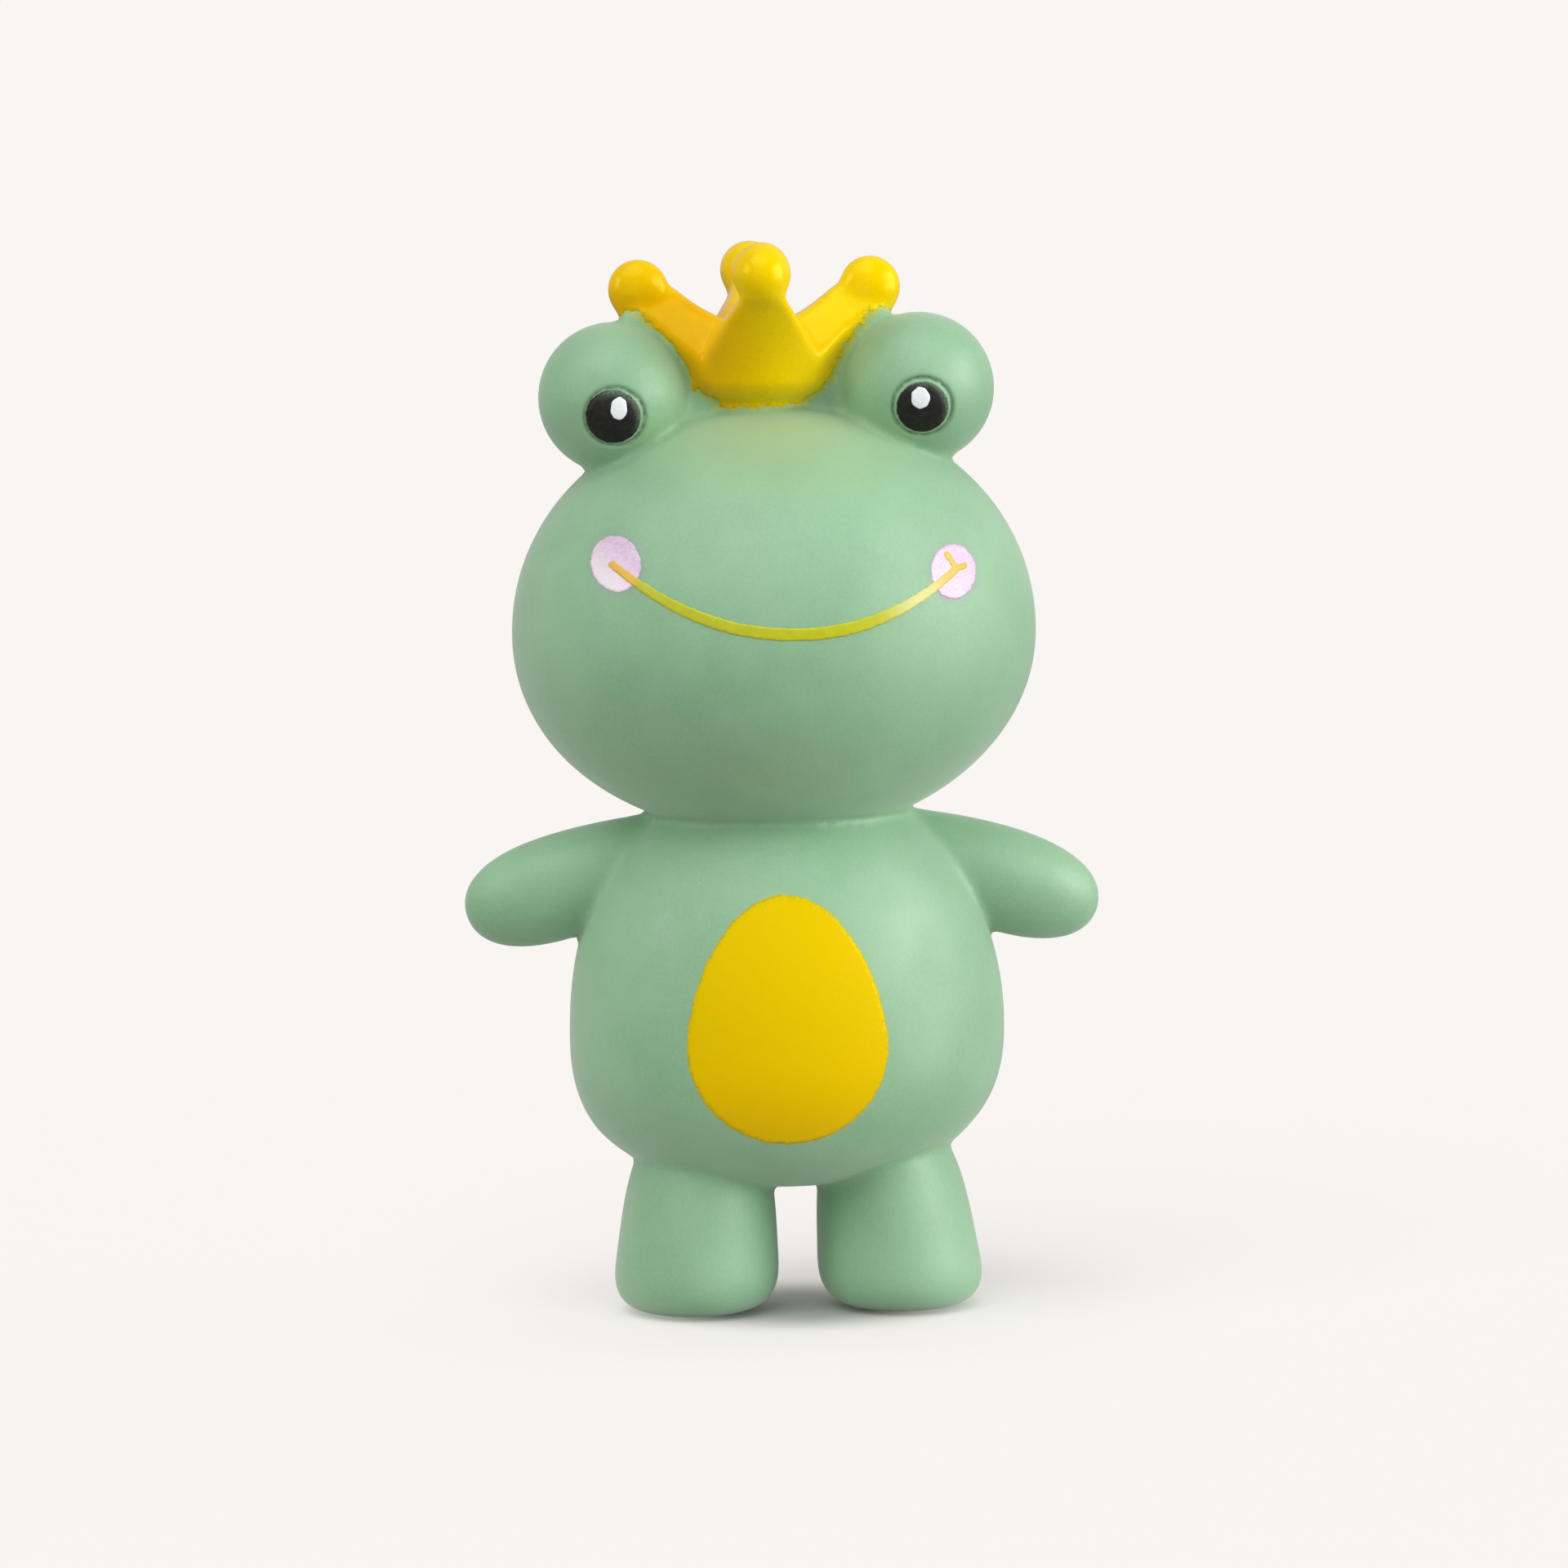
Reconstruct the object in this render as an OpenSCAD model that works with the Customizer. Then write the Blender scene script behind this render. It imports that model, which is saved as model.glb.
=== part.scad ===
// Soft rubber squeeze toy: a standing frog with a crown.
// One hollow rubber moulding carries the head, crown, torso, arms and legs. Paint films lie on it,
// and a reed squeaker is pressed into a hole in its back.
// Frame: millimetres, +Z up, front towards -Y, origin on the ground under the middle of the figure.
// Left and right are the figure's own, so left is towards +X.

/* [Head] */
// Width of the head
head_w = 68; // [64:0.5:72]
// Depth of the head, front to back
head_d = 60; // [56:0.5:64]
// Height of the head
head_h = 57.6; // [56:0.4:60]
// Height of the head's centre above the ground
head_z = 90; // [89:0.5:91]

/* [Eyes] */
// Diameter of each eye dome on top of the head
eye_dome_dia = 19.8; // [18:0.2:21]
// Distance between the centres of the eye domes
eye_spacing = 39.6; // [38:0.2:41]
// Height of the eye domes' centres above the ground
eye_z = 120.6; // [119:0.2:121]
// Diameter of the black pupil button
pupil_dia = 7.3; // [6.5:0.1:8]
// Width of the moulded groove round the pupil
pupil_groove = 0.7; // [0.5:0.1:1]

/* [Crown] */
// Distance from the crown's axis to the centre of each ball
crown_ball_reach = 15.4; // [14.5:0.1:16]
// Diameter of the balls on the crown's points
crown_ball_dia = 7.5; // [7:0.1:8]
// Height of the front and back balls' centres above the ground
crown_front_ball_z = 136; // [135:0.2:137]
// Height of the side balls' centres above the ground
crown_side_ball_z = 134.4; // [134:0.2:135]
// Diameter of the crown's round foot, where it joins the head
crown_foot_dia = 20.6; // [19:0.2:22]

/* [Torso] */
// Width of the torso at its widest
torso_w = 56; // [52:0.5:58]
// Depth of the torso, front to back
torso_d = 47; // [44:0.5:50]
// Height of the torso's widest level above the ground
torso_z = 37; // [36:0.5:38]
// Height of the torso's lowest point above the ground
torso_low_z = 16.4; // [15.5:0.1:17]

/* [Arms and legs] */
// Distance from the middle of the body to the tip of each arm
arm_reach = 41.2; // [38:0.2:44]
// Angle that each arm hangs below the horizontal
arm_droop = 10; // [6:1:14]
// Width of each leg at its widest, near the foot
leg_w = 21; // [19:0.2:21.4]
// Depth of each leg, front to back
leg_d = 27; // [24:0.5:30]
// Gap between the legs
leg_gap = 5.4; // [5:0.1:8]

/* [Rubber] */
// Thickness of the rubber wall
wall = 2.5; // [2:0.1:3]
// Thickness given to the paint films
film = 0.15; // [0.1:0.05:0.2]

/* [Squeaker] */
// Diameter of the squeaker's visible flange
flange_dia = 15.6; // [14:0.2:17]
// Diameter of the hole in the rubber that grips the squeaker
grip_hole_dia = 12; // [11.6:0.1:12.4]
// Height of the squeaker's axis above the ground
squeaker_z = 42; // [40:0.5:44]
// Width of the reed
reed_w = 3.4; // [3:0.1:3.8]
// Thickness of the reed
reed_t = 0.2; // [0.15:0.05:0.25]
// Angle that the reed's tongue stands off its seat at rest
reed_rest_angle = 2; // [1.6:0.1:2.4]

/* [Hidden] */
$fn = 72;

// Torso: the upper half is a taller half ellipsoid than the lower one.
torso_rise = 38.8;
torso_drop = torso_z - torso_low_z;

// Eye domes and pupils
eye_x = eye_spacing / 2;
eye_y = -3;
pupil_tilt = 13;
pupil_rise = 0.9;
pupil_cap_r = 6;
pupil_ball_z = eye_dome_dia / 2 + pupil_rise - pupil_cap_r;
pupil_post_z = 8;
recess_depth = 1.4;
highlight_dia = 2.6;

// Crown, in polar terms round its own axis
crown_x = -1;
crown_y = -1;
crown_foot_z = 112;
crown_valley = 7.9;
crown_valley_z = 124.7;
crown_point_half_w = 3;
crown_thickness = 6.2;
crown_dish_z = 128;
crown_paint_low_z = 118.4;

// Arms
arm_half_length = 17.6;
arm_half_height = 8;
arm_half_depth = 7;
arm_y = 0;
arm_z = 56.8;

// Legs: an upper and a lower half ellipsoid, cut flat at the ground and sheared inward as they rise
leg_x = (leg_gap + leg_w) / 2;
leg_y = -1;
leg_z = 7;
leg_drop = 9;
leg_rise = 22;
leg_shear = -0.125;

// Painted shapes on the front, as seen along +Y
belly_x = -2;
belly_z = 37.6;
belly_half_w = 13;
belly_up = 18.2;
belly_down = 13.7;
left_cheek_x = 21.4;
left_cheek_z = 97.2;
right_cheek_x = -21;
right_cheek_z = 99.8;
cheek_w = 6.4;
cheek_h = 7.6;
smile_width = 1.4;
smile_low_z = 90.2;
smile_half_span = 21.4;
smile_rise = 8.4;
smile_x = 0.2;
smile_tilt = 3;
smile_r = (pow(smile_half_span, 2) + pow(smile_rise, 2)) / (2 * smile_rise);

// Squeaker, along +Y from the inside of the body to its back
flange_y = 22.9;
seat_y = 21.4;
boss_depth = 3.2;
boss_y = seat_y - boss_depth;
barb_dia = 14;
barb_length = 1.4;
cup_dia = 11.6;
cup_in_y = 8;
cup_bore_dia = 6;
cup_bore_y = 17.4;
chamber_dia = 9.2;
air_hole_dia = 2.4;
reed_block_y = 20.6;
plenum_y = 21.2;
wedge_in_y = 17.5;
reed_block_in_y = 10.6;
channel_w = 2;
channel_depth = 1.4;
channel_in_y = 12;
tongue_in_y = 11.3;
root_gap = 0.05;
tongue_t = reed_t - 0.04;
cap_t = 1;
inlet_dia = 1.6;
inlet_ring_r = 2.8;
inlet_count = 4;

// ---- Shapes used more than once ----

// Ellipsoid with the given half axes, centred on the origin
module ellipsoid(half) scale(half) sphere(1);

// Half ellipsoids above and below z = 0 that share one equator
module egg(half_x, half_y, up, down) {
    big = 4 * max(half_x, half_y, up, down);
    intersection() {
        ellipsoid([half_x, half_y, up]);
        translate([-big / 2, -big / 2, 0]) cube(big);
    }
    intersection() {
        ellipsoid([half_x, half_y, down]);
        translate([-big / 2, -big / 2, -big]) cube(big);
    }
}

// Draws its children at +X, and mirrored at -X
module both_sides() {
    children();
    mirror([1, 0, 0]) children();
}

// Keeps what lies above the ground plane raised by z
module above(z) {
    big = 400;
    intersection() {
        children();
        translate([-big / 2, -big / 2, z]) cube(big);
    }
}

// Extrudes a shape drawn in X and Z through the front half of the figure
module through_front() {
    rotate([90, 0, 0]) linear_extrude(60) children();
}

// ---- Regions of the moulding; g grows each one outward, and a negative g is the cavity ----

module head(g = 0) {
    translate([0, 0, head_z]) ellipsoid([head_w / 2 + g, head_d / 2 + g, head_h / 2 + g]);
}

module torso(g = 0) {
    translate([0, 0, torso_z])
        egg(torso_w / 2 + g, torso_d / 2 + g, torso_rise + g, torso_drop + g);
}

module arm(g = 0) {
    tip = arm_half_length * cos(arm_droop);
    translate([arm_reach - tip, arm_y, arm_z]) rotate([0, arm_droop, 0])
        ellipsoid([arm_half_length + g, arm_half_depth + g, arm_half_height + g]);
}

module leg(g = 0) {
    shear = [[1, 0, leg_shear, 0], [0, 1, 0, 0], [0, 0, 1, 0]];
    above(-g)
        translate([leg_x, leg_y, leg_z]) multmatrix(shear)
            egg(leg_w / 2 + g, leg_d / 2 + g, leg_rise + g, leg_drop + g);
}

module eye_dome(g = 0) {
    translate([eye_x, eye_y, eye_z]) sphere(eye_dome_dia / 2 + g);
}

// Places its children at the left eye, with +Z pointing out of the pupil
module at_pupil() {
    translate([eye_x, eye_y, eye_z]) rotate([90 + pupil_tilt, 0, 0]) children();
}

module pupil_ball(g = 0) {
    at_pupil() translate([0, 0, pupil_ball_z]) sphere(pupil_cap_r + g);
}

// A round post from inside the eye dome out through the pupil
module pupil_post(dia, shift = [0, 0, 0]) {
    at_pupil() translate(shift) translate([0, 0, pupil_post_z]) cylinder(d = dia, h = eye_dome_dia);
}

module pupil_button() {
    intersection() {
        pupil_ball();
        pupil_post(pupil_dia);
    }
}

// A round recess in the eye dome; the pupil stands in it with the groove left free all round
module pupil_recess() {
    at_pupil() translate([0, 0, eye_dome_dia / 2 - recess_depth])
        cylinder(d = pupil_dia + 2 * pupil_groove, h = 5);
}

// One point of the crown, pointing along +X, with the ball on its tip
module crown_point(ball_z, g = 0) {
    reach = crown_ball_reach - 1;
    slope = (ball_z - 2.6 - crown_valley_z) / (reach - crown_valley);
    under = [for (x = [-2, reach]) [x, crown_valley_z + (x - crown_valley) * slope - g]];
    over = [for (u = [reach, -2]) [u, crown_dish_z + u * (ball_z - crown_dish_z) / reach + g]];
    intersection() {
        rotate([90, 0, 0]) translate([0, 0, -20]) linear_extrude(40) polygon(concat(under, over));
        translate([0, 0, 100]) linear_extrude(60) polygon([
            [-2, -crown_valley - g], [crown_valley, -crown_valley - g],
            [reach + g, -crown_point_half_w - g], [reach + g, crown_point_half_w + g],
            [crown_valley, crown_valley + g], [-2, crown_valley + g]
        ]);
    }
    translate([crown_ball_reach, 0, ball_z]) sphere(crown_ball_dia / 2 + g);
}

module crown(g = 0) {
    translate([crown_x, crown_y, 0]) {
        translate([0, 0, crown_foot_z])
            cylinder(d = crown_foot_dia + 2 * g, h = crown_valley_z - crown_foot_z + g);
        for (turn = [0, 180]) rotate(turn) crown_point(crown_side_ball_z, g);
        for (turn = [90, 270]) rotate(turn) crown_point(crown_front_ball_z, g);
    }
}

// Draws its children along the squeaker's axis, with +Z pointing out of the figure's back
module on_squeaker_axis(y) {
    translate([0, y, squeaker_z]) rotate([-90, 0, 0]) children();
}

// ---- The rubber moulding ----

module moulding_skin() {
    crown();
    head();
    torso();
    both_sides() {
        arm();
        leg();
        difference() {
            eye_dome();
            pupil_recess();
        }
        pupil_button();
    }
}

module moulding_cavity() {
    head(-wall);
    torso(-wall);
    both_sides() {
        arm(-wall);
        leg(-wall);
        eye_dome(-wall);
    }
}

module rubber_moulding() {
    color("#94b897") difference() {
        union() {
            difference() {
                moulding_skin();
                moulding_cavity();
            }
            on_squeaker_axis(boss_y) cylinder(r = 9, h = boss_depth);
        }
        on_squeaker_axis(seat_y) cylinder(d = flange_dia + 0.4, h = 10);
        on_squeaker_axis(boss_y - 1) cylinder(d = grip_hole_dia, h = boss_depth + 2);
    }
}

// ---- Paint films ----

// The thin layer between the head and the same head grown by the film, inside its children's outline
module film_on_head() {
    difference() {
        intersection() {
            head(film);
            through_front() children();
        }
        head();
    }
}

module crown_paint() {
    color("#e0bc00") above(crown_paint_low_z) difference() {
        crown(film);
        crown();
        head();
        both_sides() eye_dome();
    }
}

module belly_paint() {
    color("#e3c100") difference() {
        intersection() {
            torso(film);
            translate([belly_x, 0, belly_z]) through_front() {
                intersection() {
                    scale([belly_half_w, belly_up]) circle(1);
                    translate([-50, 0]) square(100);
                }
                intersection() {
                    scale([belly_half_w, belly_down]) circle(1);
                    translate([-50, -100]) square(100);
                }
            }
        }
        torso();
    }
}

module smile_outline() {
    half_angle = asin(smile_half_span / smile_r);
    centre = [smile_x, smile_low_z + smile_r];
    translate(centre) rotate(-smile_tilt) intersection() {
        difference() {
            circle(smile_r + smile_width / 2);
            circle(smile_r - smile_width / 2);
        }
        polygon([[0, 0], for (s = [-1, 1]) 2 * smile_r * [s * sin(half_angle), -cos(half_angle)]]);
    }
}

module smile_paint() {
    color("#b9bf1f") difference() {
        film_on_head() smile_outline();
        through_front() left_cheek_outline();
        through_front() right_cheek_outline();
    }
}

module cheek_outline(x, z) {
    translate([x, z]) scale([cheek_w / 2, cheek_h / 2]) circle(1);
}

module left_cheek_outline() cheek_outline(left_cheek_x, left_cheek_z);
module right_cheek_outline() cheek_outline(right_cheek_x, right_cheek_z);

module left_cheek_paint() {
    color("#e6cfe4") film_on_head() left_cheek_outline();
}

module right_cheek_paint() {
    color("#e6cfe4") film_on_head() right_cheek_outline();
}

// The layer on the pupil between the two given heights, within a post of the given diameter
module pupil_film(low, high, dia, shift = [0, 0, 0]) {
    difference() {
        intersection() {
            pupil_ball(high);
            pupil_post(dia, shift);
        }
        pupil_ball(low);
    }
}

module left_pupil_paint() {
    color("#1d1c1b") pupil_film(0, film, pupil_dia);
}

module right_pupil_paint() {
    color("#1d1c1b") mirror([1, 0, 0]) pupil_film(0, film, pupil_dia);
}

// Dots of white paint on top of the black film
module left_eye_highlight() {
    color("#e6eaec") pupil_film(film, 2 * film, highlight_dia, [-0.3, 0.9, 0]);
}

module right_eye_highlight() {
    color("#e6eaec") mirror([1, 0, 0]) pupil_film(film, 2 * film, highlight_dia, [-0.6, 0.4, 0]);
}

// ---- Squeaker ----

module squeaker_housing() {
    color("white") difference() {
        union() {
            on_squeaker_axis(seat_y) cylinder(d = flange_dia, h = flange_y - seat_y);
            on_squeaker_axis(boss_y) cylinder(d = grip_hole_dia, h = boss_depth);
            on_squeaker_axis(boss_y - barb_length) cylinder(d = barb_dia, h = barb_length);
            on_squeaker_axis(cup_in_y) cylinder(d = cup_dia, h = boss_y - cup_in_y);
        }
        on_squeaker_axis(cup_in_y - 1) cylinder(d = chamber_dia, h = cup_bore_y - cup_in_y + 1);
        on_squeaker_axis(cup_bore_y - 1) cylinder(d = cup_bore_dia, h = plenum_y - cup_bore_y + 1);
        on_squeaker_axis(cup_bore_y) cylinder(d = air_hole_dia, h = 10);
    }
}

module squeaker_cap() {
    color("white") difference() {
        on_squeaker_axis(cup_in_y) cylinder(d = chamber_dia, h = cap_t);
        for (i = [0 : inlet_count - 1])
            on_squeaker_axis(cup_in_y - 1) rotate(45 + i * 360 / inlet_count)
                translate([inlet_ring_r, 0, 0]) cylinder(d = inlet_dia, h = cap_t + 2);
    }
}

// Half of the round block that fills the cup's bore: side 1 is above the plane at z, side -1 below it
module half_block(y_in, y_out, side, z) {
    intersection() {
        on_squeaker_axis(y_in) cylinder(d = cup_bore_dia, h = y_out - y_in);
        translate([-10, 0, squeaker_z + z + (side > 0 ? 0 : -20)]) cube([20, 30, 20]);
    }
}

module reed_seat() {
    color("ivory") difference() {
        half_block(reed_block_in_y, reed_block_y, -1, 0);
        translate([-channel_w / 2, channel_in_y, squeaker_z - channel_depth])
            cube([channel_w, 20, channel_depth + 1]);
    }
}

module reed_wedge() {
    color("ivory") half_block(wedge_in_y, reed_block_y, 1, reed_t);
}

module reed_root() {
    color("whitesmoke") translate([-reed_w / 2, wedge_in_y, squeaker_z])
        cube([reed_w, reed_block_y - wedge_in_y, reed_t]);
}

module reed_tongue() {
    length = wedge_in_y - root_gap - tongue_in_y;
    color("whitesmoke") translate([0, wedge_in_y, squeaker_z + reed_t / 2])
        rotate([-reed_rest_angle, 0, 0])
            translate([-reed_w / 2, -root_gap - length, -tongue_t / 2])
                cube([reed_w, length, tongue_t]);
}

rubber_moulding();
crown_paint();
belly_paint();
smile_paint();
left_cheek_paint();
right_cheek_paint();
left_pupil_paint();
right_pupil_paint();
left_eye_highlight();
right_eye_highlight();
squeaker_housing();
squeaker_cap();
reed_seat();
reed_wedge();
reed_root();
reed_tongue();
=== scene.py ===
"""Looks for the crowned frog squeeze toy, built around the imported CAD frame.

The rubber moulding is a distance field of eggs and balls that melt into each other, meshed here.
Each paint colour is a thin closed film that lies on that skin. Shapes are worked out in millimetres
in the CAD frame (+Z up, front towards -Y, the toy's own left towards +X), then scaled to metres.
"""
import math

import bmesh
import bpy
import numpy as np
from mathutils import Matrix, Vector


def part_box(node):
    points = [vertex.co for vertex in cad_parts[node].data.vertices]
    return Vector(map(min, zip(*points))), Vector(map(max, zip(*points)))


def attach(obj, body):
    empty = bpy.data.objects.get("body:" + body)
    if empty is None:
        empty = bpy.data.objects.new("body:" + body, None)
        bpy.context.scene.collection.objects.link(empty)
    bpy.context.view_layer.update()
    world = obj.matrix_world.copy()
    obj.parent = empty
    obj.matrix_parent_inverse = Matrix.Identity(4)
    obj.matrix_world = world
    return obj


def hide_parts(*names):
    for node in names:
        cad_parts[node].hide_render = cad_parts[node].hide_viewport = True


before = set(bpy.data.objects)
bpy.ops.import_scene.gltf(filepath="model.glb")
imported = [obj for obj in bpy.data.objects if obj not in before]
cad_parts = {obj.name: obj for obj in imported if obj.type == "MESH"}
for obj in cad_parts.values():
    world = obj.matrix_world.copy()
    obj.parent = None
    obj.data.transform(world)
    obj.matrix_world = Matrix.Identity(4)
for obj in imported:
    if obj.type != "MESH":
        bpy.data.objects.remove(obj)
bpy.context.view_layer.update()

MM = 0.001
BODY = "toy"


# ---------------------------------------------------------------- places taken from the CAD frame

def cad_box_mm(node):
    """Lowest and highest corner of a CAD node, in millimetres."""
    low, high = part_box(node)
    return np.array(low) / MM, np.array(high) / MM


BODY_LOW, BODY_HIGH = cad_box_mm("rubber_moulding")
FLANGE_LOW, FLANGE_HIGH = cad_box_mm("squeaker_housing")
TOTAL_HEIGHT = BODY_HIGH[2]
ARM_REACH = BODY_HIGH[0]
SQUEAKER_Z = (FLANGE_LOW[2] + FLANGE_HIGH[2]) / 2
FLANGE_RADIUS = (FLANGE_HIGH[0] - FLANGE_LOW[0]) / 2
FLANGE_OUT_Y = FLANGE_HIGH[1]
FLANGE_THICKNESS = 1.5
SEAT_Y = FLANGE_OUT_Y - FLANGE_THICKNESS

WALL = 2.5
GRIP_HOLE_RADIUS = 6.0
BOSS_RADIUS = 9.0
BOSS_DEPTH = 3.2

HEAD_CENTRE = (0.0, 0.0, 89.0)
HEAD_HALF = (34.2, 30.0)
HEAD_UP = 29.6
HEAD_DOWN = 26.6

TORSO_CENTRE = (0.0, 0.0, 37.0)
TORSO_HALF = (28.5, 23.5)
TORSO_UP = 34.0
TORSO_DOWN = 20.6
TORSO_POWER_UP = 2.08
TORSO_POWER_DOWN = 2.5

ARM_CENTRE = (24.0, 2.0, 57.35)
ARM_DROOP = math.radians(17.5)
ARM_HALF = ((ARM_REACH - 24.0 + 0.15) / math.cos(ARM_DROOP), 6.8)
ARM_HALF_HEIGHT = 7.5
ARM_TAPER = 0.014

LEG_CENTRE = (13.15, -1.0, 8.0)
LEG_HALF = (10.55, 13.0)
LEG_UP = 17.5
LEG_DOWN = 8.4
LEG_LEAN = -0.075
LEG_TAPER = 0.0088
SOLE_ROUNDING = 1.2

# Widths of the soft fillets between the parts of the moulding
ARM_BLEND = 1.5
LEG_BLEND = 1.6
DOME_BLEND = 2.2
CROWN_BLEND = 2.0
NECK_BLEND = 1.9

DOME_CENTRE = np.array([19.8, -3.0, 120.2])
DOME_RADIUS = 9.8
PUPIL_TILT = math.radians(14)
PUPIL_RADIUS = 3.3
PUPIL_BULGE_RADIUS = 6.0
PUPIL_RISE = 0.35
RING_RADIUS = 3.8
RING_WIDTH = 0.3
RING_DEPTH = 0.34

CROWN_X = -0.65
CROWN_Y = -1.0
CROWN_BALL_RADIUS = 3.85
CROWN_BALL_REACH = 15.4
CROWN_BALL_Z = (133.7, TOTAL_HEIGHT - CROWN_BALL_RADIUS - 0.1)
CROWN_FOOT_Z = 119.0
CROWN_FOOT_RADIUS = 8.8
CROWN_NECK_Z = 132.5
CROWN_NECK_HALF_W = 2.9
CROWN_MIDDLE_Z = 128.9
CROWN_FRONT_UPRIGHT = 0.15

# The toy isn't quite straight: it leans to its right, the head tips and turns that way too,
# the arms hang lower on its left, the belly sags to its right and the legs stand to its left.
LEAN = 0.0175
HEAD_TIP = 0.016
HEAD_TURN = -0.034
ARM_TILT = 0.0085
BELLY_SAG = 0.85
LEGS_X = 0.2


# ---------------------------------------------------------------- distance fields

def smooth_min(a, b, blend):
    """The smaller of a and b, with a soft fillet where they are within blend of each other."""
    h = np.maximum(blend - np.abs(a - b), 0.0) / blend
    return np.minimum(a, b) - h * h * h * blend / 6.0


def smooth_max(a, b, blend):
    return -smooth_min(-a, -b, blend)


def egg(p, half, up, down, power=2.0):
    """Signed distance, near enough, to a round-in-plan egg centred on the origin of p."""
    x, y, z = p[..., 0] / half[0], p[..., 1] / half[1], p[..., 2]
    c = np.where(z > 0, up, down)
    plan = np.maximum(x * x + y * y, 1e-9)
    tall = np.maximum(np.abs(z / c), 1e-6)
    level = (plan ** (power / 2) + tall ** power) ** (1 / power)
    side = plan ** (power / 2 - 1)
    slope_x = side * x / half[0]
    slope_y = side * y / half[1]
    slope_z = tall ** (power - 1) / c
    slope = level ** (1 - power) * np.sqrt(slope_x ** 2 + slope_y ** 2 + slope_z ** 2)
    return (level - 1) / np.maximum(slope, 1e-6)


def ball(p, centre, radius):
    return np.sqrt(((p - np.asarray(centre)) ** 2).sum(-1)) - radius


def upright(p, turn=HEAD_TURN):
    """The points as they would lie if the figure stood straight."""
    q = np.array(p, dtype=float)
    x, y, z = p[..., 0], p[..., 1], p[..., 2]
    share = np.clip((z - 58) / 16, 0, 1)
    share = share * share * (3 - 2 * share)
    q[..., 0] += LEAN * z + turn * y * share
    q[..., 1] -= turn * x * share
    q[..., 2] -= HEAD_TIP * x * share
    return q


def leaned(q):
    """Where a point of the straight figure lies on the real one."""
    p = np.array(q, dtype=float)
    for _ in range(4):
        p = p + (q - upright(p))
    return p


def folded(q):
    """Points with the toy's right half folded onto its left."""
    q = q.copy()
    q[..., 0] = np.abs(q[..., 0])
    return q


def mirrored(p):
    return folded(upright(p))


def mirrored_for_arms(p):
    q = upright(p, 0.0)
    q[..., 2] += ARM_TILT * q[..., 0]
    return folded(q)


def mirrored_for_legs(p):
    q = p - np.array([LEGS_X, 0, 0])
    q[..., 0] += LEAN * p[..., 2]
    return folded(q)


def head_field(p):
    return egg(upright(p) - np.array(HEAD_CENTRE), HEAD_HALF, HEAD_UP, HEAD_DOWN, 2.05)


def torso_field(p):
    d = upright(p, 0.0) - np.array(TORSO_CENTRE)
    low = np.clip((7 - d[..., 2]) / 20, 0, 1)
    d[..., 0] += BELLY_SAG * low * low
    power = np.where(d[..., 2] > 0, TORSO_POWER_UP, TORSO_POWER_DOWN)
    return egg(d, TORSO_HALF, TORSO_UP, TORSO_DOWN, power)


def arm_field(q):
    d = q - np.array(ARM_CENTRE)
    along = d[..., 0] * math.cos(ARM_DROOP) - d[..., 2] * math.sin(ARM_DROOP)
    across = d[..., 0] * math.sin(ARM_DROOP) + d[..., 2] * math.cos(ARM_DROOP)
    across = across * (1 + ARM_TAPER * (9 - np.clip(along, -6, 18)))
    turned = np.stack([across, d[..., 1], along], -1)
    return egg(turned, (ARM_HALF_HEIGHT, ARM_HALF[1]), ARM_HALF[0], ARM_HALF[0], 2.15)


def leg_field(q):
    d = q - np.array(LEG_CENTRE)
    d[..., 0] -= LEG_LEAN * d[..., 2]
    d[..., 0] *= 1 + LEG_TAPER * np.clip(d[..., 2], -8, 16)
    leg = egg(d, LEG_HALF, LEG_UP, LEG_DOWN, 3.3)
    return smooth_max(leg, -q[..., 2], SOLE_ROUNDING)


def pupil_frame():
    """Centre of the left dome and the unit vectors across, up and out of its pupil."""
    out = np.array([0.0, -math.cos(PUPIL_TILT), -math.sin(PUPIL_TILT)])
    up = np.array([0.0, -math.sin(PUPIL_TILT), math.cos(PUPIL_TILT)])
    return DOME_CENTRE, np.array([1.0, 0.0, 0.0]), up, out


def dome_field(q):
    """One eye dome with the pupil's low bulge and the ring groove moulded round it."""
    centre, across, up, out = pupil_frame()
    dome = ball(q, centre, DOME_RADIUS)
    d = q - centre
    radial = np.sqrt((d @ across) ** 2 + (d @ up) ** 2)
    facing = (d @ out) > 0
    bulge_reach = DOME_RADIUS + PUPIL_RISE - PUPIL_BULGE_RADIUS
    bulge = ball(q, centre + out * bulge_reach, PUPIL_BULGE_RADIUS)
    bulge = smooth_max(bulge, radial - PUPIL_RADIUS - 0.3, 0.5)
    dome = np.where(facing, smooth_min(dome, bulge, 0.3), dome)
    ring = RING_DEPTH * np.exp(-((radial - RING_RADIUS) / RING_WIDTH) ** 2)
    return dome + np.where(facing, ring, 0.0)


def crown_plan(p):
    """Points from the crown's middle, folded onto one quarter.

    Its left point is a little shorter than the right one, and its front point leans out less.
    """
    d = p - np.array([CROWN_X, CROWN_Y, 0.0])
    d[..., 0] += LEAN * p[..., 2]
    x = np.abs(d[..., 0])
    x = x + np.where(d[..., 0] > 0, 0.75, -0.1) * np.clip(x / 8, 0, 1)
    front = CROWN_FRONT_UPRIGHT * np.clip(-d[..., 1] / 4, 0, 1)
    y = np.abs(d[..., 1]) + front * np.clip(d[..., 2] - CROWN_FOOT_Z, 0, 20)
    return np.stack([x, y, d[..., 2]], -1)


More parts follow.
